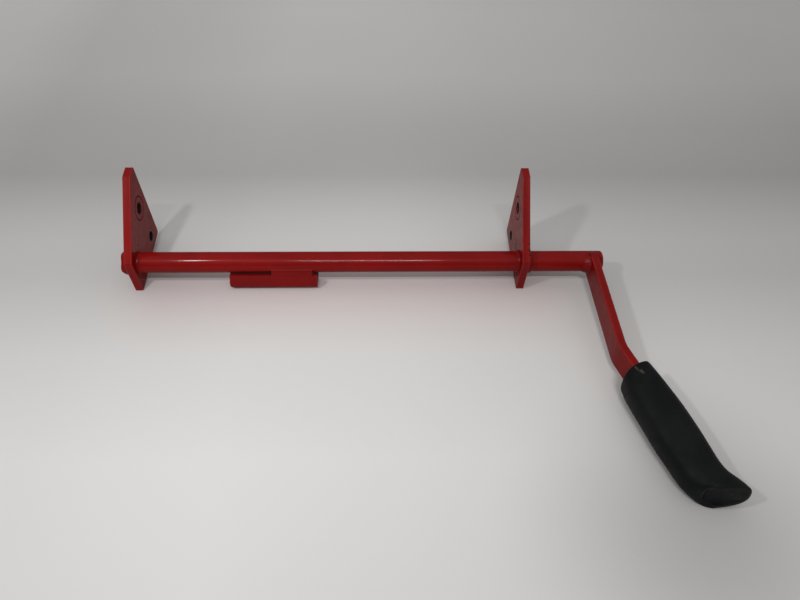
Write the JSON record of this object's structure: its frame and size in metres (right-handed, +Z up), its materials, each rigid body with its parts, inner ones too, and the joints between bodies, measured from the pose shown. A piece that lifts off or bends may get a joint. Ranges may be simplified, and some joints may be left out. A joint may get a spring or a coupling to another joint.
{
  "type": "hand lever",
  "caption": "Welded steel hand lever: round cross shaft through two drilled pivot plates, slotted stop tab, bent flat-bar arm with a push-on rubber hand grip.",
  "frame": {"origin": "middle of the outer box at the height of the surface the lever lies on", "axes": "+X along the cross shaft towards the hand arm, -Y from the shaft towards the grip, +Z up"},
  "size_m": [0.5692, 0.3444, 0.1088],
  "materials": {
    "powder_coat_red": "glossy powder coat over steel, light orange peel, small chips at edges",
    "weld_red": "powder-coated weld bead, rippled",
    "bushing_red": "powder-coated steel bushing, coat worn to dark steel inside the bore",
    "bush_black": "satin black polymer",
    "grip_rubber": "satin moulded rubber, light scuffs"
  },
  "bodies": {
    "root": {"shaft": "powder_coat_red", "plate_left": "powder_coat_red", "plate_right": "powder_coat_red", "pivot_bushing_left": "bushing_red", "pivot_bushing_right": "bushing_red", "rear_bush_left": "bush_black", "rear_bush_right": "bush_black", "stop_tab": "powder_coat_red", "lever_arm": "powder_coat_red", "hand_grip": "grip_rubber", "weld_stop_tab": "weld_red", "weld_plate_left_inner": "weld_red", "weld_plate_left_outer": "weld_red", "weld_plate_right_inner": "weld_red", "weld_plate_right_outer": "weld_red", "weld_arm_inner": "weld_red", "weld_arm_outer": "weld_red", "weld_arm_top": "weld_red", "weld_arm_bottom": "weld_red"}
  },
  "joints": []
}
